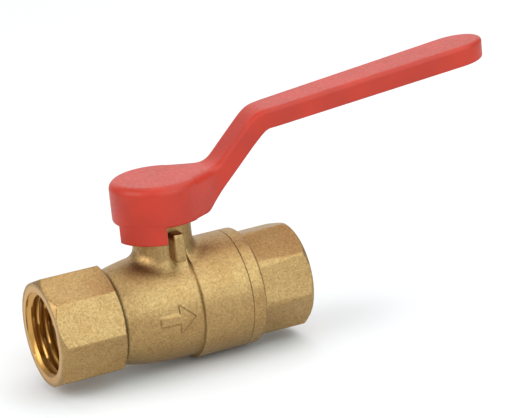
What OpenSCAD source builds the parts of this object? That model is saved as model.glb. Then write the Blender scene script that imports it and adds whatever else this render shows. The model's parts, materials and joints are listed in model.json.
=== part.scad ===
// Two-piece brass ball valve with female threads, octagonal spanner ends and a quarter-turn lever.
// X runs along the pipe from inlet to outlet, Z runs up the stem. The origin is on the pipe axis,
// where the full thread of the inlet begins. The lever lies along the pipe: the valve is open.

/* [Ends] */
// Length over the two port faces
end_to_end = 65.6; // [64:0.2:68]
// Width across the flats of both octagonal ends
octagon_af = 25; // [24.6:0.1:25.6]
// Axial length of the inlet octagon
inlet_octagon_len = 16.5; // [15:0.5:17]
// Axial length of the outlet octagon
outlet_octagon_len = 13.6; // [12:0.1:14]
// Turn of the screwed-in outlet octagon from the inlet octagon, in degrees
outlet_spin = 8.8; // [0:0.2:22.4]
// Wall diameter of both threaded ports, at the crests of the internal thread
port_thread_d = 18.64; // [18.6:0.01:18.7]
// Length of full thread in each port
port_thread_len = 12; // [11:0.5:12.5]
// Axial length of the bevel at each port mouth
mouth_bevel = 1; // [0.8:0.1:1.2]

/* [Housing] */
// Diameter of the barrel beside the stem
barrel_d = 26.9; // [26.6:0.1:27.4]
// Radius of the barrel's lengthwise crown
crown_r = 60; // [50:1:90]
// Diameter of the stout collar around the body joint
collar_d = 28.7; // [28.4:0.1:29.2]
// Distance from the stem axis to the step up to the collar
collar_start = 3; // [2:0.2:5]
// Distance from the stem axis to the seam between body and end cap
seam_x = 15.7; // [15.2:0.1:16]
// Diameter of the end cap's male thread
cap_thread_d = 25; // [24.8:0.1:25.2]
// Outer diameter of the neck around the stem
neck_d = 14.4; // [14:0.1:14.6]
// Height of the neck above the pipe axis
neck_top = 22.2; // [22:0.1:22.3]

/* [Closure] */
// Diameter of the ball
ball_d = 22.6; // [22.4:0.1:22.6]
// Diameter of the flow passage through ball, seats and housing
passage_d = 14; // [12:0.5:14]
// Diameter of the stem
stem_d = 8; // [7.6:0.1:8]
// Running clearance around the stem, per side
stem_fit = 0.06; // [0.02:0.01:0.1]
// Width across the gland nut's flats
gland_af = 11; // [10.5:0.5:12]

/* [Lever] */
// Diameter of the lever's hub
hub_d = 22.4; // [21.5:0.1:22.6]
// Height of the hub's top above the pipe axis
hub_top = 31.7; // [31:0.1:33]
// Height of the hub's rim above the pipe axis
hub_rim = 21.8; // [21:0.1:22]
// Distance from the stem axis to the lever's tip
lever_reach = 91.1; // [80:0.1:110]
// Slope of the grip, in degrees
grip_slope = 5.7; // [3:0.1:7]
// Thickness of the grip
grip_thick = 4.9; // [4:0.05:5.5]
// Half of the lever's width at its tip
tip_half_w = 6.5; // [5.5:0.1:7]
// Half of the lever's width where the grip begins
grip_half_w = 5.2; // [4.5:0.1:6]
// Half of the lever's width on the rising arm
arm_half_w = 4.1; // [3:0.1:4.5]
// Width of the stop lug on the neck
lug_w = 2.8; // [2.4:0.1:3.2]
// Free angle between the stop lug and the lever's skirt at either end of the quarter turn
stop_gap = 6.5; // [4:0.5:9]

/* [Hidden] */

$fn = 96;
eps = 0.01;
beyond = 1;

half_len = end_to_end / 2;
stem_x = half_len - mouth_bevel;
flat_r = octagon_af / 2;
corner_r = flat_r / cos(22.5);
chamfer_len = 1.35;
rim_drop = 0.05;
root_chamfer = 0.8;
thread_r = port_thread_d / 2;
mouth_r = thread_r + mouth_bevel;
passage_r = passage_d / 2;
full_turn_x = half_len - mouth_bevel - port_thread_len;
port_cone_len = 1.2;
port_floor_x = full_turn_x - port_cone_len;

groove_x = -half_len + inlet_octagon_len;
groove_w = 0.5;
groove_r = 11.2;
barrel_r = barrel_d / 2;
crown_steps = 8;
collar_r = collar_d / 2;
collar_edge = 0.3;
cap_octagon_x = half_len - outlet_octagon_len;
cap_round = 1.4;
cap_neck_r = 12.9;
cap_round_steps = 6;

ball_r = ball_d / 2;
ball_gap = 0.1;
cavity_gap = 0.3;
cavity_r = ball_r + cavity_gap;
cavity_x = 8.2;
seat_r = 10.2;
seat_front = 6.6;
seat_back = 10.6;
cap_thread_r = cap_thread_d / 2;
cap_seal_x = 13.2;
cap_seal_w = 1.6;
cap_seal_groove_r = 11.2;

slot_floor = 8.9;
slot_w = 4.2;
tongue_w = 3.9;
tongue_bottom = 9.15;
stem_r = stem_d / 2;
stem_bore_r = stem_r + stem_fit;
guard_r = 5.2;
guard_bottom = 11.6;
guard_top = 13;
pocket_r = 5.4;
washer_gap = 0.1;
washer_bottom = guard_top + washer_gap;
washer_top = 13.8;
packing_bottom = 17;
packing_r = 5.8;
ring_h = 1.1;
gland_ring_h = 0.6;
gland_bottom = packing_bottom + 2 * ring_h + gland_ring_h;
gland_head_h = 2.4;
oring_section = 1.2;
oring_gap = 0.02;
oring_centre_r = stem_bore_r - oring_section / 2 - oring_gap;
oring_z = [14.6, 16.2];
square_w = 5.6;
square_bottom = 25.3;
square_top = 29.6;
square_roof_gap = 0.2;

neck_r = neck_d / 2;
neck_foot_r = 9.2;
neck_foot_bottom = 12;
neck_foot_top = 15;
lug_y = 10.7;
lug_bottom = 13;
lug_top = 19.9;
hub_r = hub_d / 2;
skirt_r = 9.5;
skirt_bottom = 17.8;
hub_bore_r = 7.9;
hub_bore_top = square_bottom;
lug_half_angle = atan(lug_w / 2 / ((lug_y + neck_r) / 2));
skirt_from = lug_half_angle + stop_gap;
skirt_to = 270 - lug_half_angle - stop_gap;
tab_from = 188;
tab_past_skirt = 0.5;
tab_to = skirt_to + tab_past_skirt;
tab_inset = 0.3;
tab_r = hub_r - tab_inset;
tab_drop = 0.1;
tab_bottom = skirt_bottom - tab_drop;
tab_h = 5.6;
tab_far_r = 2 * hub_r;
root_x = 10.6;
shoulder_angle = 58.5;
shoulder_inset = 0.5;
overlap = 0.1;
arm_heel = [13.9, 24.4];
arm_knee = [28.3, 38.2];
arm_top_foot = [14.6, hub_top];
arm_top_knee_x = 26.2;
grip_start_x = 30;
tip_flat_x = lever_reach - tip_half_w;
screw_r = 2;
screw_z = 27.5;
screw_end_y = 8.4;
screw_key_af = 2;
screw_key_depth = 2;

function grip_under(x) = arm_knee[1] + (x - arm_knee[0]) * tan(grip_slope);
function grip_over(x) = grip_under(x) + grip_thick / cos(grip_slope);

// ---- helpers ----

module at_stem() {
    translate([stem_x, 0, 0]) children();
}

// A closed profile of [radius, distance along the pipe] points, turned about the pipe axis.
module turned(profile) {
    rotate([0, 90, 0]) rotate_extrude() polygon(profile);
}

// A round bar or bore along the pipe axis, between two distances from the stem axis.
module pipe_round(r, from, to) {
    translate([from, 0, 0]) rotate([0, 90, 0]) cylinder(r = r, h = to - from);
}

// A ring around the stem axis.
module stem_ring(inner_r, outer_r, from, to) {
    translate([0, 0, from]) difference() {
        cylinder(r = outer_r, h = to - from);
        translate([0, 0, -beyond]) cylinder(r = inner_r, h = to - from + 2 * beyond);
    }
}

// An octagonal bar from its free end to its root. The corners are turned off at both ends.
module octagon(free, root, spin) {
    way = free < root ? 1 : -1;
    intersection() {
        translate([min(free, root), 0, 0]) rotate([0, 90, 0]) rotate([0, 0, spin])
            cylinder(r = corner_r, h = abs(root - free), $fn = 8);
        turned([[0, free], [flat_r - rim_drop, free], [corner_r + eps, free + way * chamfer_len],
            [corner_r + eps, root - way * root_chamfer], [flat_r, root], [0, root]]);
    }
}

// Everything bored out of one threaded port, from its mouth to the seat; side is -1 or 1.
module port_bore(side) {
    mirror([side < 0 ? 1 : 0, 0, 0]) turned([
        [0, seat_back - eps], [passage_r, seat_back - eps], [passage_r, port_floor_x],
        [thread_r, full_turn_x], [thread_r, half_len - mouth_bevel],
        [mouth_r, half_len], [mouth_r, half_len + beyond], [0, half_len + beyond]]);
}

// ---- housing ----

module barrel() {
    crown = [for (i = [0 : crown_steps])
        let (x = (groove_x + groove_w) * (1 - i / crown_steps))
        [barrel_r - crown_r + sqrt(crown_r * crown_r - x * x), x]];
    turned(concat([[0, groove_x - beyond], [groove_r, groove_x - beyond], [groove_r, groove_x + groove_w]],
        crown, [[barrel_r, collar_start - collar_edge], [collar_r - collar_edge, collar_start],
        [collar_r, collar_start + collar_edge], [collar_r, seam_x], [0, seam_x]]));
}

module neck() {
    cylinder(r = neck_r, h = neck_top);
    translate([0, 0, neck_foot_bottom])
        cylinder(r1 = neck_foot_r, r2 = neck_r, h = neck_foot_top - neck_foot_bottom);
    translate([-lug_w / 2, -lug_y, lug_bottom])
        cube([lug_w, lug_y, lug_top - lug_bottom]);
}

module valve_body() {
    color([0.78, 0.62, 0.32]) at_stem() difference() {
        union() {
            octagon(-half_len, groove_x, 0);
            barrel();
            neck();
        }
        port_bore(-1);
        pipe_round(seat_r, -seat_back, 0);
        pipe_round(cavity_r, -cavity_x, cavity_x);
        pipe_round(cap_thread_r, cavity_x - eps, seam_x + beyond);
        cylinder(r = pocket_r, h = washer_top);
        cylinder(r = stem_bore_r, h = neck_top + beyond);
        translate([0, 0, packing_bottom]) cylinder(r = packing_r, h = neck_top);
    }
}

module end_cap() {
    rounding = [for (i = [0 : cap_round_steps]) let (a = 90 * i / cap_round_steps)
        [collar_r - cap_round + cap_round * cos(a), cap_octagon_x - cap_round + cap_round * sin(a)]];
    color([0.8, 0.64, 0.34]) at_stem() difference() {
        union() {
            turned(concat([[0, cavity_x], [cap_thread_r, cavity_x], [cap_thread_r, seam_x],
                [collar_r, seam_x]], rounding, [[cap_neck_r, cap_octagon_x], [0, cap_octagon_x]]));
            octagon(half_len, cap_octagon_x - root_chamfer, outlet_spin);
        }
        port_bore(1);
        pipe_round(seat_r, 0, seat_back);
        turned([[cap_seal_groove_r, cap_seal_x], [cap_thread_r + beyond, cap_seal_x],
            [cap_thread_r + beyond, cap_seal_x + cap_seal_w],
            [cap_seal_groove_r, cap_seal_x + cap_seal_w]]);
    }
}

module cap_oring() {
    section_r = (cap_thread_r - cap_seal_groove_r) / 2;
    color("black") at_stem() translate([cap_seal_x + cap_seal_w / 2, 0, 0]) rotate([0, 90, 0])
        rotate_extrude() translate([cap_seal_groove_r + section_r, 0]) circle(r = section_r, $fn = 24);
}

// ---- ball and seats ----

module ball() {
    color([0.82, 0.83, 0.85]) at_stem() difference() {
        sphere(r = ball_r);
        pipe_round(passage_r, -ball_r - beyond, ball_r + beyond);
        translate([-slot_w / 2, -ball_r, slot_floor]) cube([slot_w, 2 * ball_r, ball_r]);
    }
}

module seat_ring() {
    difference() {
        pipe_round(seat_r, seat_front, seat_back);
        pipe_round(passage_r, seat_front - beyond, seat_back + beyond);
        sphere(r = ball_r + ball_gap);
    }
}

module seat_inlet() {
    color("white") at_stem() mirror([1, 0, 0]) seat_ring();
}

module seat_outlet() {
    color("white") at_stem() seat_ring();
}

// ---- stem and its seals ----

module stem() {
    color([0.75, 0.6, 0.3]) at_stem() difference() {
        union() {
            intersection() {
                translate([-tongue_w / 2, -stem_r, tongue_bottom])
                    cube([tongue_w, stem_d, guard_bottom - tongue_bottom + eps]);
                cylinder(r = stem_r, h = guard_top);
            }
            translate([0, 0, guard_bottom]) cylinder(r = guard_r, h = guard_top - guard_bottom);
            translate([0, 0, guard_top - eps]) cylinder(r = stem_r, h = square_bottom - guard_top + eps);
            translate([-square_w / 2, -square_w / 2, square_bottom - eps])
                cube([square_w, square_w, square_top - square_bottom + eps]);
        }
        for (z = oring_z)
            stem_ring(oring_centre_r - oring_section / 2, stem_r + beyond,
                z - oring_section / 2, z + oring_section / 2);
    }
}

module stem_oring(z) {
    color("black") at_stem() translate([0, 0, z]) rotate_extrude()
        translate([oring_centre_r, 0]) circle(r = oring_section / 2, $fn = 24);
}

module stem_oring_lower() {
    stem_oring(oring_z[0]);
}

module stem_oring_upper() {
    stem_oring(oring_z[1]);
}

module thrust_washer() {
    color("white") at_stem() stem_ring(stem_bore_r, pocket_r, washer_bottom, washer_top);
}

module packing_lower() {
    color("white") at_stem()
        stem_ring(stem_bore_r, packing_r, packing_bottom, packing_bottom + ring_h);
}

module packing_upper() {
    color("ivory") at_stem()
        stem_ring(stem_bore_r, packing_r, packing_bottom + ring_h, packing_bottom + 2 * ring_h);
}

module gland_ring() {
    color([0.8, 0.66, 0.35]) at_stem()
        stem_ring(stem_bore_r, packing_r, gland_bottom - gland_ring_h, gland_bottom);
}

module gland_nut() {
    color([0.8, 0.66, 0.35]) at_stem() difference() {
        union() {
            translate([0, 0, gland_bottom]) cylinder(r = packing_r, h = neck_top - gland_bottom + eps);
            translate([0, 0, neck_top]) cylinder(r = gland_af / 2 / cos(30), h = gland_head_h, $fn = 6);
        }
        translate([0, 0, gland_bottom - beyond])
            cylinder(r = stem_bore_r, h = neck_top + gland_head_h - gland_bottom + 2 * beyond);
    }
}

// ---- lever ----

// The lever seen from above: round hub, tangent shoulders and a grip that widens to a round tip.
module lever_plan() {
    shoulder_x = (hub_r - shoulder_inset) * cos(shoulder_angle);
    shoulder_y = (hub_r - shoulder_inset) * sin(shoulder_angle);
    arm_x = shoulder_x + (shoulder_y - arm_half_w) * tan(shoulder_angle);
    tip_y = tip_half_w - overlap;
    circle(r = hub_r);
    polygon([[shoulder_x, -shoulder_y], [arm_x, -arm_half_w], [arm_top_knee_x, -arm_half_w],
        [grip_start_x, -grip_half_w], [tip_flat_x, -tip_y], [tip_flat_x, tip_y],
        [grip_start_x, grip_half_w], [arm_top_knee_x, arm_half_w], [arm_x, arm_half_w],
        [shoulder_x, shoulder_y]]);
    translate([tip_flat_x, 0]) circle(r = tip_half_w);
}

// The lever seen from the side: hub, rising arm and gently sloping grip.
module lever_side() {
    back = -hub_r - beyond;
    front = lever_reach + beyond;
    polygon([[back, hub_rim], [root_x, hub_rim], arm_heel, arm_knee,
        [front, grip_under(front)], [front, grip_over(front)],
        [arm_top_knee_x, grip_over(arm_top_knee_x)], arm_top_foot, [back, hub_top]]);
}

// The wall under the hub that meets the stop lug at both ends of the quarter turn.
module stop_skirt() {
    rotate([0, 0, skirt_from]) translate([0, 0, skirt_bottom])
        rotate_extrude(angle = skirt_to - skirt_from)
            translate([hub_bore_r - beyond, 0])
                square([skirt_r - hub_bore_r + beyond, hub_rim - skirt_bottom + beyond]);
}

// The thicker end of that wall, level with the hub's side.
module stop_tab() {
    angles = [tab_from, (tab_from + tab_to) / 2, tab_to];
    translate([0, 0, tab_bottom]) intersection() {
        cylinder(r = tab_r, h = tab_h);
        linear_extrude(height = hub_rim)
            polygon(concat([[0, 0]], [for (a = angles) tab_far_r * [cos(a), sin(a)]]));
    }
}

module lever_handle() {
    color([0.85, 0.16, 0.1]) at_stem() difference() {
        union() {
            intersection() {
                linear_extrude(height = 2 * hub_top) lever_plan();
                translate([0, hub_r + beyond, 0]) rotate([90, 0, 0])
                    linear_extrude(height = 2 * (hub_r + beyond)) lever_side();
            }
            stop_skirt();
            stop_tab();
        }
        translate([0, 0, skirt_bottom - beyond])
            cylinder(r = hub_bore_r, h = hub_bore_top - skirt_bottom + beyond);
        translate([-square_w / 2, -square_w / 2, hub_bore_top - beyond])
            cube([square_w, square_w, square_top + square_roof_gap - hub_bore_top + beyond]);
        translate([0, square_w / 2, screw_z]) rotate([-90, 0, 0]) cylinder(r = screw_r, h = hub_r);
    }
}

module handle_set_screw() {
    color("dimgray") at_stem() translate([0, square_w / 2, screw_z]) rotate([-90, 0, 0]) difference() {
        cylinder(r = screw_r, h = screw_end_y - square_w / 2);
        translate([0, 0, screw_end_y - square_w / 2 - screw_key_depth])
            cylinder(r = screw_key_af / 2 / cos(30), h = screw_key_depth + beyond, $fn = 6);
    }
}

valve_body();
end_cap();
cap_oring();
ball();
seat_inlet();
seat_outlet();
stem();
thrust_washer();
stem_oring_lower();
stem_oring_upper();
packing_lower();
packing_upper();
gland_ring();
gland_nut();
lever_handle();
handle_set_screw();
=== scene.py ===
"""Two-piece brass ball valve with a red coated lever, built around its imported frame."""
import json
import math

import bmesh
import bpy
import numpy as np
from bpy.props import FloatProperty, FloatVectorProperty, PointerProperty
from mathutils import Matrix, Vector


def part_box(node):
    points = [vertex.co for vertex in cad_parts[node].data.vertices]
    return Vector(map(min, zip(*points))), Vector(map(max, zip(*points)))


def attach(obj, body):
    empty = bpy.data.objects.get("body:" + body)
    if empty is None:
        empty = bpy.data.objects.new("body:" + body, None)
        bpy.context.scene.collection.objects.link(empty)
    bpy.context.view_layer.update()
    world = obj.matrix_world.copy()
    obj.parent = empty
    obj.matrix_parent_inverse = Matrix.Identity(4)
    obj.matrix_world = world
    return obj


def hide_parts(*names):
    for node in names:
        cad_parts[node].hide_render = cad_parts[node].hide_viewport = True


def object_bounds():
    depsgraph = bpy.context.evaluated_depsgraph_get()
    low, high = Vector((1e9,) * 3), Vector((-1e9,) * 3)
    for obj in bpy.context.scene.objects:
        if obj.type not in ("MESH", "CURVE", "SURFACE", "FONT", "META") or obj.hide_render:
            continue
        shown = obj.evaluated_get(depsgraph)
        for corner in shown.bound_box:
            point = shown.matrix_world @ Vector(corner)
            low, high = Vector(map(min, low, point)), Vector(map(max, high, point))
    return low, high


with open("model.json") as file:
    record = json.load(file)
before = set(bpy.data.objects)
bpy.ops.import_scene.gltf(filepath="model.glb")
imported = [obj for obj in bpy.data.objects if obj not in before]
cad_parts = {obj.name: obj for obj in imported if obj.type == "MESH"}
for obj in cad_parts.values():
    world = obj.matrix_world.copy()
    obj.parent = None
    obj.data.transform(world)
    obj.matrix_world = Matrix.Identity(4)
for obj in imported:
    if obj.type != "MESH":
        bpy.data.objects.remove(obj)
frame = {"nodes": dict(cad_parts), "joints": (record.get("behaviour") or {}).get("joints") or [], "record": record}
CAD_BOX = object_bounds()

bl_info = {
    "name": "Brass Ball Valve",
    "version": (1, 0, 0),
    "blender": (4, 5, 0),
    "location": "View3D > Sidebar > Valve",
    "description": "Builds a two-piece threaded ball valve with a quarter-turn lever",
    "category": "Add Mesh",
}

MM = 0.001
AROUND = 288
JOINTS = {joint["name"]: joint for joint in frame["joints"]}
STEM_X = JOINTS["lever_turn"]["pos_m"][0]
BODY_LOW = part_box("valve_body")[0]
CAP_LOW, CAP_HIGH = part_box("end_cap")
LEVER_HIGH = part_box("lever_handle")[1]
BALL_LOW, BALL_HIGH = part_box("ball")
SEAT_LOW, SEAT_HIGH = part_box("seat_outlet")
SCREW_LOW, SCREW_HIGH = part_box("handle_set_screw")
MOUTH = 1.0
THREAD = {m["name"]: m["dims"] for m in frame["record"]["mounts"]}["inlet_thread"]

# Places of the hidden steps, in millimetres from the stem axis or from the pipe axis
INLET_OCTAGON, OUTLET_OCTAGON = 16.5, 13.6
RIM_DROP, CORNER_LEN, ROOT_CORNER = 0.08, 1.35, 0.8
CROWN_R = 60.0
NECK_FILLET = 2.2
NECK_TOP = 22.2
PLUG_LEN, PLUG_R = 7.5, 12.5
CHAMBER_X, CHAMBER_R = 8.2, 11.6
SEAT_BACK, SEAT_R = 10.6, 10.2
PASSAGE_R, PORT_FLOOR = 7.0, 1.2
PORT_SKIN, CORNER_BLEND, SECTION_STEP = 1.2, 0.18, 0.28
COLLAR_STEP = (2.7, 3.15)
SEAL_GROOVE, SEAL_R = (13.2, 14.8), 11.2
CHAMBER_END, WALL_MARGIN = -9, 0.5
STEM_BORE = [(5.4, 9), (5.4, 13.8), (4.06, 13.8), (4.06, 17), (5.8, 17), (5.8, 23)]
LUG_CENTRE, LUG_HALF = (-8.6, 16.35), (1.4, 2.1, 3.55)
SLOT_CENTRE, SLOT_HALF = 12.9, (2.1, 14, 4.0)
SOCKET_CENTRE, SOCKET_HALF = 27.4, (2.8, 2.8, 2.4)
BOX_POWER = 40
HUB_TOP, HUB_RIM, HUB_BORE, HUB_ROOF = 31.7, 21.8, 7.9, 25.3
SKIRT_R, SKIRT_ARC = 9.5, (15.4, 253.6)
TAB_ARC = (188, 254.6)
SKIRT_LOW, SKIRT_HIGH, SKIRT_LAP = 17.8, 23.2, 0.6
SHOULDER, SHOULDER_INSET, SHOULDER_BLEND, GRIP_BLEND = 58.5, 0.25, 0.5, 1.2
KNEE_SPREAD, HEEL_SPREAD, WIDTH_SPREAD = 3, 1.4, 2.5
EDGE_CHANGE, FOOT_EDGE = (8, 20), (0.85, 0.45)
TIP_LENGTH, TIP_WIDTH = 8.25, 6.5
ARM_TOP = [(-20, HUB_TOP), (14.6, HUB_TOP), (26.2, 42.9), (89.1, 49.26), (120, 52.38)]
ARM_UNDER = [(-20, HUB_RIM), (10.6, HUB_RIM), (13.9, 24.4), (28.25, 38.3), (120, 47.1)]
BORE_SKIN, BORE_START = 11.7, (17.0, 18.0)
# Dark lines on the housing: the one at the body seam is its dark joint, the others are painted shade at the steps
# of the inlet octagon, the collar and the outlet octagon; place along the pipe, half width and darkness
SEAM_AND_SHADE_LINES = [(-15.95, 0.8, 0.92), (3.0, 0.2, 0.3), (15.7, 0.18, 0.35), (19.2, 0.35, 0.65)]
GRIP_WIDTH = [(-20, 4.1), (25.5, 4.1), (30, 5.2), (82.85, TIP_WIDTH), (120, TIP_WIDTH)]

# The flow arrow: place along the pipe and round the barrel, then its bar's middle, half length
# and half width, then its head's foot, tip and half angle
ARROW_PLACE = (-3.6, 0.3)
ARROW_BAR = (-1.6, 2.7, 1.1)
ARROW_HEAD = (0.5, 4.3, 43)

INNER_NODES = ["stem", "gland_nut", "gland_ring", "thrust_washer", "packing_lower", "packing_upper",
               "stem_oring_lower", "stem_oring_upper", "cap_oring", "handle_set_screw"]

# The studio, in metres and degrees: azimuth, elevation and roll; right, up and back from the stem
CAMERA_ANGLES = (-25.0, 16.92, -5.72)
CAMERA_PLACE = (0.02008, 0.02247, 0.51388)
CAMERA_LENS, SENSOR_WIDTH = 152.5, 36
FLOOR_GAP, FLOOR_HALF = 0.0005, 6
WORLD_LIGHT = 0.42
LIGHT_AIM = (0.02, 0, 0.015)
WHITE, COOL = (1.0, 1.0, 1.0), (0.87, 1.0, 1.05)
# Name, direction, distance, size, power and colour of each light
LIGHTS = [
    ("front_light", (0.2, -0.78, 0.5), 0.9, (1.1, 0.9), 6.9, COOL),
    ("top_light", (0.33, 0.1, 1), 0.9, (1.1, 0.9), 4.9, WHITE),
    ("side_light", (-1, -0.05, 0.7), 0.9, (0.8, 0.6), 4.8, WHITE),
    ("rear_light", (0.4, 0.87, 0.38), 1.0, (1.4, 0.6), 2.4, WHITE)]


# ---------------------------------------------------------------- settings


class ValveHousing(bpy.types.PropertyGroup):
    """Sizes of the two castings that make the housing."""

    octagon_af: FloatProperty(
        name="Octagon", description="Width across the flats of both ends",
        default=25 * MM, unit="LENGTH")
    outlet_spin: FloatProperty(
        name="Outlet spin", description="Turn of the screwed-in outlet octagon from the inlet's",
        default=math.radians(8.8), subtype="ANGLE")
    barrel_d: FloatProperty(
        name="Barrel", description="Diameter of the barrel beside the stem",
        default=26.9 * MM, unit="LENGTH")
    collar_d: FloatProperty(
        name="Collar", description="Diameter of the collar around the body joint",
        default=28.7 * MM, unit="LENGTH")
    neck_d: FloatProperty(
        name="Neck", description="Outer diameter of the neck around the stem",
        default=14.4 * MM, unit="LENGTH")
    thread_pitch: FloatProperty(
        name="Thread pitch", description="Distance from one turn of the port thread to the next",
        default=1.814 * MM, unit="LENGTH", precision=4)
    arrow_relief: FloatProperty(
        name="Flow arrow", description="Height of the raised flow arrow on the barrel",
        default=0.45 * MM, unit="LENGTH")


class ValveLever(bpy.types.PropertyGroup):
    """Sizes of the lever."""

    hub_d: FloatProperty(
        name="Hub", description="Diameter of the lever's hub",
        default=22.4 * MM, unit="LENGTH")
    hub_edge: FloatProperty(
        name="Hub edge", description="Radius of the hub's upper edge",
        default=2 * MM, unit="LENGTH")
    grip_edge: FloatProperty(
        name="Grip edge", description="Radius of the grip's edges",
        default=1.1 * MM, unit="LENGTH")


class ValveFinish(bpy.types.PropertyGroup):
    """Colours of the finishes, in linear light."""

    brass: FloatVectorProperty(
        name="Brass", description="Colour of the blasted brass castings",
        default=(0.405, 0.261, 0.107), subtype="COLOR", size=3)
    coating: FloatVectorProperty(
        name="Coating", description="Colour of the lever's coating",
        default=(0.42, 0.024, 0.008), subtype="COLOR", size=3)
    floor: FloatVectorProperty(
        name="Floor", description="Colour of the studio floor",
        default=(0.78, 0.78, 0.78), subtype="COLOR", size=3)


# ---------------------------------------------------------------- mesh helpers


def rounded(points, step):
    """A polyline with its corners turned into arcs.

    points are (x, y, corner radius). Each corner becomes the arc of that radius that touches
    both of its sides, and straight runs are divided so that no piece is longer than step.
    The line is closed. Returns an array of points.
    """
    corners = np.array([p[:2] for p in points], float)
    radii = [p[2] for p in points]
    out = []
    count = len(corners)
    for i, corner in enumerate(corners):
        before, after = corners[i - 1] - corner, corners[(i + 1) % count] - corner
        len_a, len_b = np.hypot(*before), np.hypot(*after)
        before, after = before / len_a, after / len_b
        turn = math.pi - math.acos(np.clip(before @ after, -1, 1))
        reach = min(radii[i] * math.tan(turn / 2), 0.49 * len_a, 0.49 * len_b)
        if reach < 1e-9:
            out.append(corner[None])
        else:
            radius = reach / math.tan(turn / 2)
            centre = corner + (before + after) / np.linalg.norm(before + after) * math.hypot(radius, reach)
            start, end = corner + before * reach, corner + after * reach
            parts = max(2, math.ceil(radius * turn / step) + 1)
            t = np.linspace(0, turn, parts + 1)[:, None]
            a, b = (start - centre) / radius, (end - centre) / radius
            out.append(centre + radius * (a * np.sin(turn - t) + b * np.sin(t)) / math.sin(turn))
    pieces = []
    for i, piece in enumerate(out):
        nxt = out[(i + 1) % count][0]
        run = np.hypot(*(nxt - piece[-1]))
        parts = max(1, math.ceil(run / step))
        t = np.arange(1, parts)[:, None] / parts
        pieces += [piece, piece[-1] + (nxt - piece[-1]) * t]
    return np.concatenate(pieces)


def grid_object(name, points, closed_rows=True, caps=False):
    """A mesh object from an array of points [row, column, xyz] in millimetres.

    Columns close on themselves, and so do rows unless closed_rows is False. With caps, rows stay
    open and the first and last rings are closed with one face each. Points that fall together
    are merged and faces are turned outwards.
    """
    rows, cols = points.shape[:2]
    index = np.arange(rows * cols).reshape(rows, cols)
    open_rows = caps or not closed_rows
    a = index[:-1] if open_rows else index
    b = index[1:] if open_rows else np.roll(index, -1, 0)
    quads = np.stack([a, np.roll(a, -1, 1), np.roll(b, -1, 1), b], -1).reshape(-1, 4)
    faces = quads.tolist()
    if caps:
        faces += [index[0][::-1].tolist(), index[-1].tolist()]
    mesh = bpy.data.meshes.new(name)
    mesh.from_pydata((points.reshape(-1, 3) * MM).tolist(), [], faces)
    piece = bpy.data.objects.new(name, mesh)
    bpy.context.scene.collection.objects.link(piece)
    tidy_mesh(piece)
    return piece


def tidy_mesh(piece, merge=0.002 * MM):
    """Merges doubled points, drops empty faces, and turns all faces outwards."""
    work = bmesh.new()
    work.from_mesh(piece.data)
    bmesh.ops.remove_doubles(work, verts=work.verts, dist=merge)
    bmesh.ops.dissolve_degenerate(work, edges=work.edges, dist=merge)
    bmesh.ops.recalc_face_normals(work, faces=work.faces)
    work.to_mesh(piece.data)
    work.free()


def combine(piece, tool, operation):
    """Joins a tool to a piece, or cuts it away, and removes the tool."""
    modifier = piece.modifiers.new("combine", "BOOLEAN")
    modifier.operation = operation
    modifier.solver = "EXACT"
    modifier.object = tool
    bpy.context.view_layer.update()
    graph = bpy.context.evaluated_depsgraph_get()
    mesh = bpy.data.meshes.new_from_object(piece.evaluated_get(graph))
    piece.modifiers.clear()
    old, piece.data = piece.data, mesh
    mesh.name = piece.name
    bpy.data.meshes.remove(old)
    bpy.data.objects.remove(tool)


def finish_piece(piece, body, node, slot, sharp=40):
    """Shades a piece smooth up to an edge angle, attaches it to its body, gives it the finish of its slot, and
    hides the imported part of that node.
    """
    piece.data.polygons.foreach_set("use_smooth", np.ones(len(piece.data.polygons), bool))
    piece.data.set_sharp_from_angle(angle=math.radians(sharp))
    piece.data.materials.clear()
    piece.data.materials.append(finish_named(slot))
    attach(piece, body)
    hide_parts(node)


def smoothstep(x, low, high):
    """0 below low, 1 above high, and a smooth cubic between."""
    t = np.clip((x - low) / (high - low), 0, 1)
    return t * t * (3 - 2 * t)


def soft_min(a, b, blend):
    """The smaller of two values, with the corner where they cross rounded over blend."""
    h = np.clip(0.5 + 0.5 * (b - a) / blend, 0, 1)
    return b + (a - b) * h - blend * h * (1 - h)


def turned_points(profile, radius=None, around=AROUND, centre_x=STEM_X / MM):
    """Profile points (x, r) turned about the pipe axis: (x, r cos t, r sin t)."""
    t = np.arange(around) / around * 2 * math.pi
    if radius is None:
        radius = np.repeat(profile[:, 1:2], around, 1)
    x = np.repeat(profile[:, :1] + centre_x, around, 1)
    return np.stack([x, radius * np.cos(t), radius * np.sin(t)], -1)


def octagon_radius(t, across_flats, spin, corner=0.5):
    """Distance from the axis to an octagon with rounded corners, at the angles t.

    On a flat it is half the width across flats over the cosine of the angle from the flat's
    middle. Near a corner it is the outer crossing with the circle that rounds it.
    """
    flat = across_flats / 2
    half = math.pi / 8
    phi = np.abs((t - spin + half) % (2 * half) - half)
    centre = (flat - corner) / math.cos(half)
    tangent = half - math.atan((flat - corner) * math.tan(half) / flat)
    arc = centre * np.cos(phi) + np.sqrt(np.maximum(corner ** 2 - (centre * np.sin(phi)) ** 2, 0))
    return np.where(phi < tangent, arc, flat / np.cos(half - phi))


def thread_radius(x, t, crest, pitch, start, end, depth=1.16, slope=1.3, flat=0.15):
    """Inner radius of a right-handed thread: crest plus a groove that climbs one pitch a turn.

    The groove's section is a triangle with flattened crest and root, and it fades in over a
    pitch at the blind end.
    """
    phase = (x / pitch - t / (2 * math.pi)) % 1
    groove = np.clip(slope * np.abs(2 * phase - 1) - flat, 0, 1)
    low, high = min(start, end), max(start, end)
    fade = smoothstep(x, low, low + pitch) if start < end else smoothstep(-x, -high, -high + pitch)
    return crest + depth * groove * fade


# ---------------------------------------------------------------- housing shapes


def flare_height(x, y, neck_r, radius):
    """Rise of the casting's surface around the neck: a quarter circle that ends on the neck's wall."""
    gap = np.clip(np.hypot(x, y) - neck_r, 0, radius)
    return radius - np.sqrt(radius ** 2 - (radius - gap) ** 2)


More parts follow.
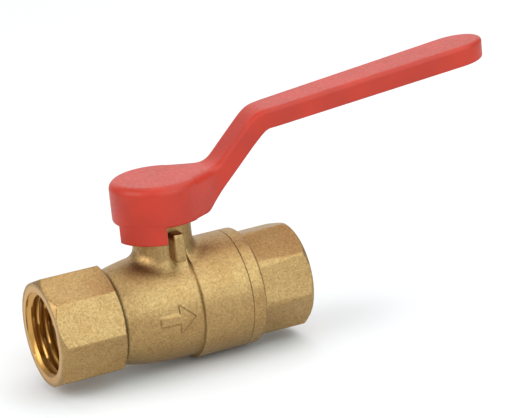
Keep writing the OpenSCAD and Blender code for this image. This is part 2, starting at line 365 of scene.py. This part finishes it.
def arrow_distance(x, s):
    """Signed distance to the flow arrow's outline, negative inside, from its centre.

    x runs along the pipe and s round the barrel. The arrow is a straight bar joined to a
    triangular head that points along x.
    """
    middle, half_len, half_width = ARROW_BAR
    foot, tip, angle = ARROW_HEAD
    angle = math.radians(angle)
    bar = np.maximum(np.abs(x - middle) - half_len, np.abs(s) - half_width)
    head = np.maximum(np.abs(s) * math.cos(angle) + (x - tip) * math.sin(angle), foot - x)
    return np.minimum(bar, head)


def casting_radius(section, sizes, octagon, spin, thread):
    """Radius of a casting over section points and angles.

    Outside, between the two ends of octagon, it is the smaller of the turned section and the
    octagon. Inside, from the blind end of thread to its mouth, it is the larger of the turned
    section and the helical groove. Everywhere else it is the turned section.
    """
    x, r = section[:, :1], section[:, 1:]
    t = np.arange(AROUND) / AROUND * 2 * math.pi
    crest = THREAD["r_mm"]
    flat = sizes.octagon_af / MM
    radius = np.repeat(r, AROUND, 1)
    outside = (x > octagon[0]) & (x < octagon[1]) & (r > crest + PORT_SKIN)
    radius = np.where(outside, soft_min(radius, octagon_radius(t, flat, spin)[None], CORNER_BLEND), radius)
    low, high = min(thread), max(thread)
    inside = (x > low - 0.01) & (x < high + 0.01) & (r < crest + PORT_SKIN)
    groove = thread_radius(x, t, crest, sizes.thread_pitch / MM, *thread)
    return np.where(inside, np.maximum(radius, groove), radius)


def octagon_end(face, inward, flat, corner):
    """Section points of an octagon's free end: port mouth, end face and turned-off corners."""
    return [(face, THREAD["r_mm"] + MOUTH, 0.12), (face, flat - RIM_DROP, 0.25),
            (face + inward * CORNER_LEN, corner, 0.3)]


def body_points(sizes):
    """The body casting: a closed section carried round the pipe axis.

    Going round the section: the inlet mouth, the octagon, the crowned barrel, the collar, the
    joint bore, the ball's chamber, the seat pocket, the passage and the inlet thread. The skin
    rises in a quarter circle round the neck, and by the raised flow arrow.
    """
    face, seam = (BODY_LOW.x - STEM_X) / MM, (CAP_LOW.x - STEM_X) / MM + PLUG_LEN
    crest, thread_end = THREAD["r_mm"], face + MOUTH + THREAD["length_mm"]
    flat, barrel, collar = sizes.octagon_af / 2 / MM, sizes.barrel_d / 2 / MM, sizes.collar_d / 2 / MM
    corner = flat / math.cos(math.pi / 8) + 0.1
    shoulder = face + INLET_OCTAGON
    crown = [(x, barrel - CROWN_R + math.sqrt(CROWN_R ** 2 - x ** 2), CROWN_R / 3)
             for x in np.linspace(shoulder + 0.6, 0, 6)]
    profile = octagon_end(face, 1, flat, corner) + [
        (shoulder - ROOT_CORNER, corner, 0.3), (shoulder, flat - 0.3, 0.4),
        (shoulder + 0.15, crown[0][1] - 0.1, 0.2)] + crown + [
        (COLLAR_STEP[0], barrel, 0.3), (COLLAR_STEP[1], collar, 0.35), (seam, collar, 0.15),
        (seam, PLUG_R, 0.05),
        (CHAMBER_X, PLUG_R, 0.05), (CHAMBER_X, CHAMBER_R, 0.05), (-CHAMBER_X, CHAMBER_R, 0.3),
        (-CHAMBER_X, SEAT_R, 0.1), (-SEAT_BACK, SEAT_R, 0.1), (-SEAT_BACK, PASSAGE_R, 0.2),
        (thread_end + PORT_FLOOR, PASSAGE_R, 0.3), (thread_end, crest, 0.2),
        (face + MOUTH, crest, 0.1)]
    section = rounded(profile, SECTION_STEP)
    radius = casting_radius(section, sizes, (face - 1, shoulder + 0.1), 0, (thread_end, face))
    x, r = section[:, :1], section[:, 1:]
    inner = np.where(x > CHAMBER_X, PLUG_R, np.where(x > CHAMBER_END, CHAMBER_R, SEAT_R))
    skin = (x > shoulder) & (r > inner + WALL_MARGIN)
    t = np.arange(AROUND) / AROUND * 2 * math.pi
    edge = arrow_distance(x - ARROW_PLACE[0], (math.pi - t) * barrel - ARROW_PLACE[1])
    relief = (1 - smoothstep(edge, -0.12, 0.2)) * sizes.arrow_relief / MM
    points = turned_points(section, radius + np.where(skin, relief, 0))
    y, z = points[..., 1], points[..., 2]
    rise = flare_height(x, y, sizes.neck_d / 2 / MM, NECK_FILLET)
    points[..., 2] = np.where(skin & (z > 0), z + rise, z)
    return points


def cap_points(sizes):
    """The end cap: plug with its seal groove, rounded collar, octagon, outlet thread and bore."""
    plug, face = (CAP_LOW.x - STEM_X) / MM, (CAP_HIGH.x - STEM_X) / MM
    seam = plug + PLUG_LEN
    crest, thread_end = THREAD["r_mm"], face - MOUTH - THREAD["length_mm"]
    flat, collar = sizes.octagon_af / 2 / MM, sizes.collar_d / 2 / MM
    corner = flat / math.cos(math.pi / 8) + 0.1
    shoulder = face - OUTLET_OCTAGON
    profile = [
        (plug, SEAT_R, 0.1), (plug, PLUG_R, 0.3), (SEAL_GROOVE[0], PLUG_R, 0.1),
        (SEAL_GROOVE[0], SEAL_R, 0.1), (SEAL_GROOVE[1], SEAL_R, 0.1),
        (SEAL_GROOVE[1], PLUG_R, 0.1), (seam, PLUG_R, 0.05), (seam, collar, 0.2),
        (shoulder, collar, 1.4), (shoulder + 0.05, corner - 0.4, 0.05)]
    profile += octagon_end(face, -1, flat, corner)[::-1]
    profile += [
        (face - MOUTH, crest, 0.1), (thread_end, crest, 0.2),
        (thread_end - PORT_FLOOR, PASSAGE_R, 0.3), (SEAT_BACK, PASSAGE_R, 0.2), (SEAT_BACK, SEAT_R, 0.1)]
    section = rounded(profile, SECTION_STEP)
    return turned_points(section, casting_radius(
        section, sizes, (shoulder, face + 1), sizes.outlet_spin, (thread_end, face)))


def rounded_block(centre, half, power=8, around=48):
    """A block with soft edges: |x/a|^p + |y/b|^p + |z/c|^p = 1 over longitude and latitude."""
    lon = np.arange(around) / around * 2 * math.pi
    lat = np.linspace(-math.pi / 2, math.pi / 2, around // 2 + 1)[:, None]
    d = np.stack([np.cos(lat) * np.cos(lon), np.cos(lat) * np.sin(lon), np.sin(lat) + 0 * lon], -1)
    d = d / (np.abs(d / np.array(half)) ** power).sum(-1, keepdims=True) ** (1 / power)
    return d + np.array(centre)


# ---------------------------------------------------------------- closure shapes


def ball_points():
    """The ball: a sphere's arc and its straight passage, turned about the pipe axis."""
    radius = (BALL_HIGH.z - BALL_LOW.z) / 2 / MM + 0.1
    lip = math.asin((PASSAGE_R + 0.25) / radius)
    a = np.linspace(lip, math.pi - lip, 120)
    arc = np.stack([-radius * np.cos(a), radius * np.sin(a)], -1)
    reach = radius * math.cos(lip) - 0.2
    bore = np.stack([np.linspace(reach, -reach, 24), np.full(24, PASSAGE_R)], -1)
    return turned_points(np.concatenate([arc, bore]), around=144)


def seat_points(side):
    """A seat ring: its front is a hollow cut by the ball's sphere, and its back is square."""
    low, high = (SEAT_LOW.x - STEM_X) / MM, (SEAT_HIGH.x - STEM_X) / MM
    hollow = (BALL_HIGH.z - BALL_LOW.z) / 2 / MM + 0.2
    r = np.linspace(PASSAGE_R + 0.05, math.sqrt(hollow ** 2 - low ** 2), 16)
    front = np.stack([np.sqrt(hollow ** 2 - r ** 2), r], -1)
    back = rounded([(low, SEAT_R - 0.02, 0.2), (high, SEAT_R - 0.02, 0.2),
                    (high, PASSAGE_R + 0.05, 0.1)], 0.4)
    section = np.concatenate([front, back[:-1]])
    section[:, 0] *= side
    return turned_points(section, around=144)


# ---------------------------------------------------------------- lever shapes


def smooth_line(x, points, spread):
    """Height of a polyline at x, averaged over a window of that half width, so corners turn round."""
    px, pz = np.array(points, float).T
    window = np.linspace(-1, 1, 41)
    weight = 1 - window ** 2
    samples = np.interp(x[..., None] + spread * window, px, pz)
    return (samples * weight).sum(-1) / weight.sum()


def lever_points(sizes):
    """The lever without its bores: closed upright sections carried along x from hub to tip.

    Half of a section's width is the hub's circle, then the straight shoulder that touches it,
    then the grip's slow widening, then the tip's circle. Its top and bottom follow the side
    view's rising line, and drop by a quarter circle near the outline, which rounds the edges.
    """
    hub = sizes.hub_d / 2 / MM
    tip = (LEVER_HIGH.x - STEM_X) / MM - TIP_LENGTH
    hub_rows = -hub * np.cos(np.linspace(0, 0.5 * math.pi, 40))
    arm_rows = np.arange(0.25, tip, 0.3)
    tip_rows = tip + TIP_LENGTH * np.sin(np.linspace(0, 0.5 * math.pi, 30))
    x = np.concatenate([hub_rows, arm_rows, tip_rows])
    angle = math.radians(SHOULDER)
    circle = np.sqrt(np.maximum(hub ** 2 - x ** 2, 0))
    tear = (hub - SHOULDER_INSET - x * math.cos(angle)) / math.sin(angle)
    tear = np.where(x < hub * math.cos(angle), soft_min(circle, tear, SHOULDER_BLEND), tear)
    grip = smooth_line(x, GRIP_WIDTH, WIDTH_SPREAD)
    width = np.where(x < 0.2, circle, -soft_min(-tear, -grip, GRIP_BLEND))
    width = np.where(x > tip, TIP_WIDTH * np.sqrt(np.maximum(1 - ((x - tip) / TIP_LENGTH) ** 2, 0)), width)
    upper = smooth_line(x, ARM_TOP, KNEE_SPREAD)
    lower = smooth_line(x, ARM_UNDER, HEEL_SPREAD)
    blend = smoothstep(x, *EDGE_CHANGE)
    edge = sizes.hub_edge / MM * (1 - blend) + sizes.grip_edge / MM * blend
    foot = FOOT_EDGE[0] + (FOOT_EDGE[1] - FOOT_EDGE[0]) * blend
    b = np.linspace(-0.5 * math.pi, 0.5 * math.pi, 49)
    across = np.sin(b)
    slope = np.gradient(width, x)
    lean = 1 / np.sqrt(1 + slope ** 2)
    y = width[:, None] * across
    inside = (width[:, None] - np.abs(y)) * lean[:, None]
    inside = np.where((x < hub * math.cos(angle))[:, None], hub - np.hypot(x[:, None], y), inside)
    oval = TIP_WIDTH * (1 - np.hypot((x[:, None] - tip) / TIP_LENGTH, y / TIP_WIDTH))
    inside = np.where((x > tip)[:, None], oval, inside)

    def drop(radius):
        gap = np.clip(inside, 0, radius)
        return radius - np.sqrt(np.maximum(radius ** 2 - (radius - gap) ** 2, 0))

    high = upper[:, None] - drop(edge[:, None])
    low = lower[:, None] + drop(foot[:, None])
    wall = np.linspace(0, 1, 14)[1:-1]
    side = high[:, -1:] + (low[:, -1:] - high[:, -1:]) * wall
    far = np.repeat(width[:, None], len(wall), 1)
    ring_y = np.concatenate([y, far, y[:, ::-1], -far], 1)
    ring_z = np.concatenate([high, side, low[:, ::-1], side[:, ::-1]], 1)
    ring_x = np.repeat(x[:, None] + STEM_X / MM, ring_y.shape[1], 1)
    return np.stack([ring_x, ring_y, ring_z], -1)


def skirt_points(arc, outer):
    """A wall of the stop skirt: a rounded section carried through an arc about the stem."""
    inner = HUB_BORE - SKIRT_LAP
    section = rounded([(inner, SKIRT_LOW, 0.3), (outer, SKIRT_LOW, 0.45), (outer, SKIRT_HIGH, 0.1),
                       (inner, SKIRT_HIGH, 0.1)], 0.3)
    t = np.radians(np.linspace(*arc, 120))[:, None]
    r, z = section[:, 0], section[:, 1]
    return np.stack([STEM_X / MM + r * np.cos(t), r * np.sin(t), z + 0 * t], -1)


# ---------------------------------------------------------------- materials


class Sock:
    """A shader value that can be used in Python expressions."""

    def __init__(self, tree, socket):
        self.tree, self.socket = tree, socket

    def math(self, operation, other, swap=False):
        a, b = (other, self) if swap else (self, other)
        return self.tree.node("ShaderNodeMath", {"operation": operation}, {0: a, 1: b})

    def __add__(self, other):
        return self.math("ADD", other)

    __radd__ = __add__

    def __sub__(self, other):
        return self.math("SUBTRACT", other)

    def __rsub__(self, other):
        return self.math("SUBTRACT", other, True)

    def __mul__(self, other):
        return self.math("MULTIPLY", other)

    __rmul__ = __mul__

    def __truediv__(self, other):
        return self.math("DIVIDE", other)

    def __pow__(self, other):
        return self.math("POWER", other)

    def __abs__(self):
        return self.tree.node("ShaderNodeMath", {"operation": "ABSOLUTE"}, {0: self})


class Finish:
    """A material under construction: its node tree and its one Principled shader."""

    def __init__(self, name):
        self.material = bpy.data.materials.new("valve_" + name)
        self.material.use_nodes = True
        self.nodes, self.links = self.material.node_tree.nodes, self.material.node_tree.links
        self.shader = self.nodes["Principled BSDF"]
        self.place = self.node("ShaderNodeVectorMath", {"operation": "SCALE"}, {
            0: self.node("ShaderNodeTexCoord", out="Object"), 3: 1 / MM})

    def node(self, kind, settings=None, inputs=None, out=0):
        """Adds a node: settings first, then values or links of its sockets. Returns an output."""
        made = self.nodes.new(kind)
        for key, value in (settings or {}).items():
            setattr(made, key, value)
        for key, value in (inputs or {}).items():
            if isinstance(value, Sock):
                self.links.new(value.socket, made.inputs[key])
            else:
                made.inputs[key].default_value = value
        return Sock(self, made.outputs[out])

    def noise(self, scale, detail=3.0, roughness=0.5):
        """Noise over the object's own coordinates, with about scale grains to the millimetre."""
        return self.node("ShaderNodeTexNoise", None, {
            "Vector": self.place, "Scale": scale, "Detail": detail, "Roughness": roughness})

    def parts(self):
        """The three object coordinates, in millimetres."""
        return [self.node("ShaderNodeSeparateXYZ", None, {0: self.place}, out) for out in range(3)]

    def step(self, value, low, high, to_low=0.0, to_high=1.0):
        """Maps low..high to to_low..to_high with soft ends."""
        return self.node("ShaderNodeMapRange", {"interpolation_type": "SMOOTHSTEP"}, {
            "Value": value, "From Min": low, "From Max": high, "To Min": to_low, "To Max": to_high})

    def mix(self, factor, first, second):
        """A colour between two colours."""
        return self.node("ShaderNodeMix", {"data_type": "RGBA"}, {0: factor, 6: first, 7: second}, 2)

    def bump(self, height, distance, strength=1.0):
        """A bumped normal from a height between 0 and 1."""
        return self.node("ShaderNodeBump", None, {
            "Height": height, "Distance": distance, "Strength": strength})

    def put(self, **sockets):
        """Sets or links sockets of the shader, by their names with _ for a space."""
        for key, value in sockets.items():
            socket = self.shader.inputs[key.replace("_", " ")]
            if isinstance(value, Sock):
                self.links.new(value.socket, socket)
            else:
                socket.default_value = value
        return self.material


def shade(colour, factor):
    """A colour with four parts, made lighter or darker."""
    return (*[c * factor for c in colour[:3]], 1.0)


def cast_brass(colour):
    """Blasted brass casting with bright grains and duller patches, a dark joint line at the body seam, and painted
    shade lines at the octagon and collar steps.

    The ports are machined: inside BORE_SKIN from the pipe axis the brass is cleaner, redder and
    shinier.
    """
    f = Finish("cast_brass")
    x, y, z = f.parts()
    along, around = x - STEM_X / MM, (y * y + z * z) ** 0.5
    grain, fleck, patch = f.noise(1.7, 2, 0.6), f.noise(3.2, 2, 0.6), f.noise(0.16, 4, 0.6)
    dull = (colour[0] * 0.93, colour[1] * 0.88, colour[2] * 0.84, 1)
    tone = f.mix(f.step(patch, 0.42, 0.66), shade(colour, 1.0), dull)
    tone = f.mix(f.step(grain, 0.52, 0.68, 0, 0.5), tone, shade(colour, 1.3))
    tone = f.mix(f.step(grain, 0.5, 0.34, 0, 0.5), tone, shade(colour, 0.6))
    tone = f.mix(f.step(fleck, 0.5, 0.3, 0, 0.45), tone, shade(colour, 0.5))
    bore = f.step(around, BORE_SKIN + 0.1, BORE_SKIN - 0.1) * f.step(abs(along), *BORE_START)
    tone = f.mix(bore, tone, (colour[0] * 1.32, colour[1] * 1.15, colour[2] * 0.8, 1))
    # Painted shade: darker bands at the octagon and collar steps, where shadow falls; the band at the body seam is
    # its dark joint
    for groove, half_width, depth in SEAM_AND_SHADE_LINES:
        tone = f.mix(f.step(abs(along - groove), half_width, 0.0, 0, depth), tone, shade(colour, 0.12))
    height = (grain * 0.65 + fleck * 0.35) * (1 - bore * 0.9)
    rough = f.step(fleck, 0.3, 0.7, 0.48, 0.38) - bore * 0.08
    return f.put(Base_Color=tone, Metallic=1.0, Roughness=rough, Normal=f.bump(height, 0.11 * MM, 1.0))


def turned_brass(colour):
    """Machined brass: fine even tool marks and a clean shine."""
    f = Finish("turned_brass")
    mark = f.noise(3.2, 2)
    tone = f.mix(f.noise(0.4, 2), shade(colour, 0.95), shade(colour, 1.1))
    return f.put(Base_Color=tone, Metallic=1.0, Roughness=f.step(mark, 0.3, 0.7, 0.22, 0.34),
                 Normal=f.bump(mark, 0.02 * MM, 0.3))


def chrome_plate():
    """Polished plating with a faint haze."""
    f = Finish("ball_chrome")
    haze = f.noise(0.26, 3)
    return f.put(Base_Color=f.mix(haze, (0.74, 0.75, 0.77, 1), (0.83, 0.84, 0.86, 1)), Metallic=1.0,
                 Roughness=f.step(haze, 0.35, 0.7, 0.08, 0.16))


def seat_plastic():
    """White sealing plastic with a waxy skin."""
    f = Finish("seat_ptfe")
    cloud = f.noise(0.5, 3)
    return f.put(Base_Color=f.mix(cloud, (0.80, 0.80, 0.78, 1), (0.90, 0.90, 0.88, 1)),
                 Roughness=f.step(cloud, 0.3, 0.7, 0.42, 0.55),
                 Normal=f.bump(f.noise(3, 2), 0.02 * MM, 0.2))


def seal_rubber():
    """Black moulded rubber."""
    f = Finish("seal_rubber")
    skin = f.noise(2.2, 3)
    return f.put(Base_Color=f.mix(skin, (0.012, 0.012, 0.012, 1), (0.03, 0.03, 0.03, 1)),
                 Roughness=f.step(skin, 0.3, 0.7, 0.45, 0.65), Normal=f.bump(skin, 0.03 * MM, 0.3))


def screw_steel():
    """Dark zinc on a small steel screw."""
    f = Finish("screw_steel")
    skin = f.noise(1.8, 3)
    return f.put(Base_Color=f.mix(skin, (0.16, 0.16, 0.17, 1), (0.34, 0.34, 0.35, 1)), Metallic=1.0,
                 Roughness=f.step(skin, 0.3, 0.7, 0.3, 0.5))


def lever_coating(colour):
    """Red coating: slightly wavy semi-gloss skin with a fine grain."""
    f = Finish("red_coating")
    wave, grain = f.noise(0.12, 2), f.noise(1.4, 3)
    tone = f.mix(f.step(wave, 0.35, 0.7), shade(colour, 0.93), shade(colour, 1.07))
    height = wave * 0.8 + grain * 0.2
    return f.put(Base_Color=tone, Roughness=f.step(grain, 0.3, 0.7, 0.38, 0.5),
                 Coat_Weight=0.05, Coat_Roughness=0.3, Specular_IOR_Level=0.35,
                 Normal=f.bump(height, 0.05 * MM, 0.35))


def pale_floor(colour):
    """Matte studio paper."""
    f = Finish("floor_paper")
    mottle = f.noise(0.006, 2)
    return f.put(Base_Color=f.mix(mottle, shade(colour, 0.99), shade(colour, 1.0)), Roughness=0.9)


def finish_named(name):
    """The finish of that name, made on first use from the scene's colours."""
    made = bpy.data.materials.get("valve_" + name)
    if made:
        return made
    finishes = bpy.context.scene.valve_finish
    makers = {
        "cast_brass": lambda: cast_brass(finishes.brass),
        "turned_brass": lambda: turned_brass(finishes.brass),
        "ball_chrome": chrome_plate, "seat_ptfe": seat_plastic, "seal_rubber": seal_rubber,
        "screw_steel": screw_steel, "red_coating": lambda: lever_coating(finishes.coating),
        "floor_paper": lambda: pale_floor(finishes.floor)}
    return makers[name]()


# ---------------------------------------------------------------- operators


def bore_tool(name, steps, segments=96):
    """A closed turned tool about the stem axis, from (radius, height) steps bottom to top."""
    section = np.array([(0, steps[0][1]), *steps, (0, steps[-1][1])], float)
    t = np.arange(segments) / segments * 2 * math.pi
    ring = np.stack([STEM_X / MM + section[1:-1, :1] * np.cos(t), section[1:-1, :1] * np.sin(t),
                     np.repeat(section[1:-1, 1:], segments, 1)], -1)
    return grid_object(name, ring, caps=True)


def cross_tool(name, radius, height, start, end, segments=64):
    """A closed round tool across the stem axis, along y from start to end: (r cos t, y, r sin t)."""
    t = np.arange(segments) / segments * 2 * math.pi
    y = np.array([[start], [end]])
    ring = np.stack([STEM_X / MM + radius * np.cos(t) + 0 * y, y + 0 * t,
                     height + radius * np.sin(t) + 0 * y], -1)
    return grid_object(name, ring, caps=True)


class VALVE_OT_body(bpy.types.Operator):
    """Cast body with inlet octagon, thread, barrel, collar, neck and stop lug"""

    bl_idname = "valve.body"
    bl_label = "Body casting"

    def execute(self, context):
        sizes = context.scene.valve_housing
        neck = sizes.neck_d / 2 / MM
        piece = grid_object("body_casting", body_points(sizes))
        wall = bore_tool("neck", [(neck, 12), (neck, NECK_TOP - 0.4), (neck - 0.4, NECK_TOP)])
        combine(piece, wall, "UNION")
        lug = rounded_block((STEM_X / MM, *LUG_CENTRE), LUG_HALF)
        combine(piece, grid_object("lug", lug, closed_rows=False), "UNION")
        combine(piece, bore_tool("stem_bore", STEM_BORE), "DIFFERENCE")
        tidy_mesh(piece)
        finish_piece(piece, "housing", "valve_body", "cast_brass")
        return {"FINISHED"}


class VALVE_OT_cap(bpy.types.Operator):
    """Screwed-in end cap with its octagon and outlet thread"""

    bl_idname = "valve.cap"
    bl_label = "End cap"

    def execute(self, context):
        piece = grid_object("cap_casting", cap_points(context.scene.valve_housing))
        finish_piece(piece, "housing", "end_cap", "cast_brass")
        return {"FINISHED"}


class VALVE_OT_ball(bpy.types.Operator):
    """Chromed ball with its passage and drive slot"""

    bl_idname = "valve.ball"
    bl_label = "Ball"

    def execute(self, context):
        piece = grid_object("plated_ball", ball_points())
        slot = rounded_block((STEM_X / MM, 0, SLOT_CENTRE), SLOT_HALF, BOX_POWER)
        combine(piece, grid_object("slot", slot, closed_rows=False), "DIFFERENCE")
        finish_piece(piece, "ball", "ball", "ball_chrome")
        return {"FINISHED"}


class VALVE_OT_seats(bpy.types.Operator):
    """Two sealing seats that hold the ball"""

    bl_idname = "valve.seats"
    bl_label = "Seats"

    def execute(self, context):
        for side, node in ((-1, "seat_inlet"), (1, "seat_outlet")):
            piece = grid_object(node + "_ring", seat_points(side))
            finish_piece(piece, "housing", node, "seat_ptfe")
        return {"FINISHED"}


class VALVE_OT_lever(bpy.types.Operator):
    """Lever with hub, stop skirt, rising arm and grip"""

    bl_idname = "valve.lever"
    bl_label = "Lever"

    def execute(self, context):
        piece = grid_object("lever_casting", lever_points(context.scene.valve_lever), closed_rows=False)
        hub = context.scene.valve_lever.hub_d / 2 / MM
        combine(piece, grid_object("skirt", skirt_points(SKIRT_ARC, SKIRT_R), caps=True), "UNION")
        combine(piece, grid_object("tab", skirt_points(TAB_ARC, hub - 0.03), caps=True), "UNION")
        combine(piece, bore_tool("hub_bore", [(HUB_BORE, 15), (HUB_BORE, HUB_ROOF)]), "DIFFERENCE")
        socket = rounded_block((STEM_X / MM, 0, SOCKET_CENTRE), SOCKET_HALF, BOX_POWER)
        combine(piece, grid_object("socket", socket, closed_rows=False), "DIFFERENCE")
        screw_r = (SCREW_HIGH.z - SCREW_LOW.z) / 2 / MM
        hole = cross_tool("screw_hole", screw_r + 0.03, SCREW_LOW.z / MM + screw_r, SCREW_LOW.y / MM - 0.5,
                          hub + 2)
        combine(piece, hole, "DIFFERENCE")
        tidy_mesh(piece)
        finish_piece(piece, "lever", "lever_handle", "red_coating", 50)
        return {"FINISHED"}


class VALVE_OT_inner_parts(bpy.types.Operator):
    """Finishes of the stem, gland, packing, seals and set screw"""

    bl_idname = "valve.inner_parts"
    bl_label = "Inner parts"

    def execute(self, context):
        slots = {s["node"]: s["material_slot"] for s in frame["record"]["subparts"]}
        for node in INNER_NODES:
            mesh = frame["nodes"][node].data
            mesh.materials.clear()
            mesh.materials.append(finish_named(slots[node]))
        return {"FINISHED"}


def soft_box(name, aim, direction, distance, size, power, colour):
    """A rectangular studio light that faces the aim from a direction."""
    lamp = bpy.data.lights.new(name, "AREA")
    lamp.shape, lamp.size, lamp.size_y, lamp.energy = "RECTANGLE", size[0], size[1], power
    lamp.color = colour
    light = bpy.data.objects.new(name, lamp)
    bpy.context.scene.collection.objects.link(light)
    away = Vector(direction).normalized()
    light.location = aim + away * distance
    light.rotation_euler = (-away).to_track_quat("-Z", "Y").to_euler()


class VALVE_OT_stage(bpy.types.Operator):
    """Camera, pale floor and soft studio lights"""

    bl_idname = "valve.stage"
    bl_label = "Stage"

    def execute(self, context):
        scene = context.scene
        azimuth, elevation, roll = (math.radians(a) for a in CAMERA_ANGLES)
        back = Vector((math.sin(azimuth) * math.cos(elevation), -math.cos(azimuth) * math.cos(elevation),
                       math.sin(elevation)))
        right = Vector((math.cos(azimuth), math.sin(azimuth), 0))
        up = back.cross(right)
        right, up = (right * math.cos(roll) + up * math.sin(roll),
                     up * math.cos(roll) - right * math.sin(roll))
        camera = bpy.data.objects.new("camera", bpy.data.cameras.new("camera"))
        scene.collection.objects.link(camera)
        camera.data.lens, camera.data.sensor_width = CAMERA_LENS, SENSOR_WIDTH
        camera.data.clip_start, camera.data.clip_end = 0.01, 50
        aside, above, away = CAMERA_PLACE
        place = Vector((STEM_X, 0, 0)) + right * aside + up * above + back * away
        camera.matrix_world = Matrix.Translation(place) @ Matrix((right, up, back)).transposed().to_4x4()
        scene.camera = camera

        low, half = CAD_BOX[0].z - FLOOR_GAP, FLOOR_HALF
        mesh = bpy.data.meshes.new("floor")
        corners = [(-half, -half, low), (half, -half, low), (half, half, low), (-half, half, low)]
        mesh.from_pydata(corners, [], [(0, 1, 2, 3)])
        floor = bpy.data.objects.new("floor", mesh)
        scene.collection.objects.link(floor)
        mesh.materials.append(finish_named("floor_paper"))

        aim = Vector((STEM_X, 0, 0)) + Vector(LIGHT_AIM)
        for name, *rest in LIGHTS:
            soft_box(name, aim, *rest)
        world = bpy.data.worlds.new("studio")
        scene.world = world
        world.use_nodes = True
        world.node_tree.nodes["Background"].inputs[0].default_value = (1, 1, 1, 1)
        world.node_tree.nodes["Background"].inputs[1].default_value = WORLD_LIGHT
        scene.view_settings.view_transform = "Standard"
        return {"FINISHED"}


class VALVE_PT_panel(bpy.types.Panel):
    """Sidebar panel with the sizes and the build steps"""

    bl_label = "Ball valve"
    bl_idname = "VALVE_PT_panel"
    bl_space_type = "VIEW_3D"
    bl_region_type = "UI"
    bl_category = "Valve"

    def draw(self, context):
        layout = self.layout
        for group in ("valve_housing", "valve_lever", "valve_finish"):
            owner = getattr(context.scene, group)
            box = layout.box()
            for key in owner.bl_rna.properties.keys():
                if key not in ("rna_type", "name"):
                    box.prop(owner, key)
        for step in STEPS:
            layout.operator(step.bl_idname)


STEPS = (VALVE_OT_body, VALVE_OT_cap, VALVE_OT_ball, VALVE_OT_seats, VALVE_OT_lever,
         VALVE_OT_inner_parts, VALVE_OT_stage)
GROUPS = {"valve_housing": ValveHousing, "valve_lever": ValveLever, "valve_finish": ValveFinish}


def register():
    """Makes the settings, operators and panel known to Blender."""
    for kind in (*GROUPS.values(), *STEPS, VALVE_PT_panel):
        bpy.utils.register_class(kind)
    for name, kind in GROUPS.items():
        setattr(bpy.types.Scene, name, PointerProperty(type=kind))


def unregister():
    """Takes them out again."""
    for name in GROUPS:
        delattr(bpy.types.Scene, name)
    for kind in (VALVE_PT_panel, *reversed(STEPS), *GROUPS.values()):
        bpy.utils.unregister_class(kind)


def main():
    register()
    for step in STEPS:
        family, name = step.bl_idname.split(".")
        getattr(getattr(bpy.ops, family), name)()


if __name__ == "__main__":
    main()
